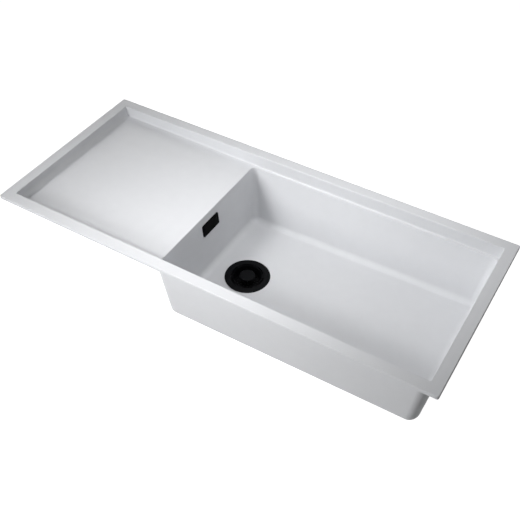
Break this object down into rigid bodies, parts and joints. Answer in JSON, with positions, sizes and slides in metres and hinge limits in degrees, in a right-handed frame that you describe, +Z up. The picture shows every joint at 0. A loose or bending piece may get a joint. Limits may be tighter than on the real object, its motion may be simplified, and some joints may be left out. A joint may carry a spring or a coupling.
{
  "type": "kitchen sink with drainboard",
  "caption": "Inset composite kitchen sink with a deep bowl, a flat drainboard, a lift-out basket strainer waste and an overflow piped to it.",
  "frame": {"origin": "centre of the rim's outline, in the plane of the rim's underside, which is the top of the worktop", "axes": "+X from the drainboard to the bowl along the sink's length, +Y to the wall behind the sink, +Z up"},
  "size_m": [1.12, 0.48, 0.2805],
  "materials": {
    "composite": "fine matte white quartz composite",
    "black_metal": "satin black coating on pressed steel",
    "black_plastic": "satin black moulded plastic",
    "white_plastic": "smooth white polypropylene",
    "rubber": "matte black rubber",
    "steel": "plain stainless steel"
  },
  "bodies": {
    "sink": {"sink_basin": "composite", "drain_flange": "black_metal", "flange_gasket": "rubber", "waste_gasket": "rubber", "waste_body": "white_plastic", "clamp_screw": "steel", "screw_washer": "rubber", "overflow_bezel": "black_plastic", "overflow_gasket": "rubber", "overflow_elbow": "white_plastic", "overflow_screws": "steel", "overflow_hose": "white_plastic", "hose_nut_upper": "white_plastic", "hose_nut_lower": "white_plastic", "hose_seal_upper": "rubber", "hose_seal_lower": "rubber"},
    "basket": {"basket_cup": "black_metal", "basket_stem": "steel", "basket_knob": "black_metal", "basket_seal": "rubber", "basket_nut": "steel"},
    "cover": {"overflow_cover": "black_plastic"}
  },
  "joints": [
    {"name": "basket_lift", "type": "slide", "parent": "sink", "child": "basket", "axis": [0, 0, 1], "range_m": [0, 0.27]},
    {"name": "overflow_cover_pull", "type": "slide", "parent": "sink", "child": "cover", "axis": [0.9956, 0, 0.0941], "range_m": [0, 0.06]}
  ]
}
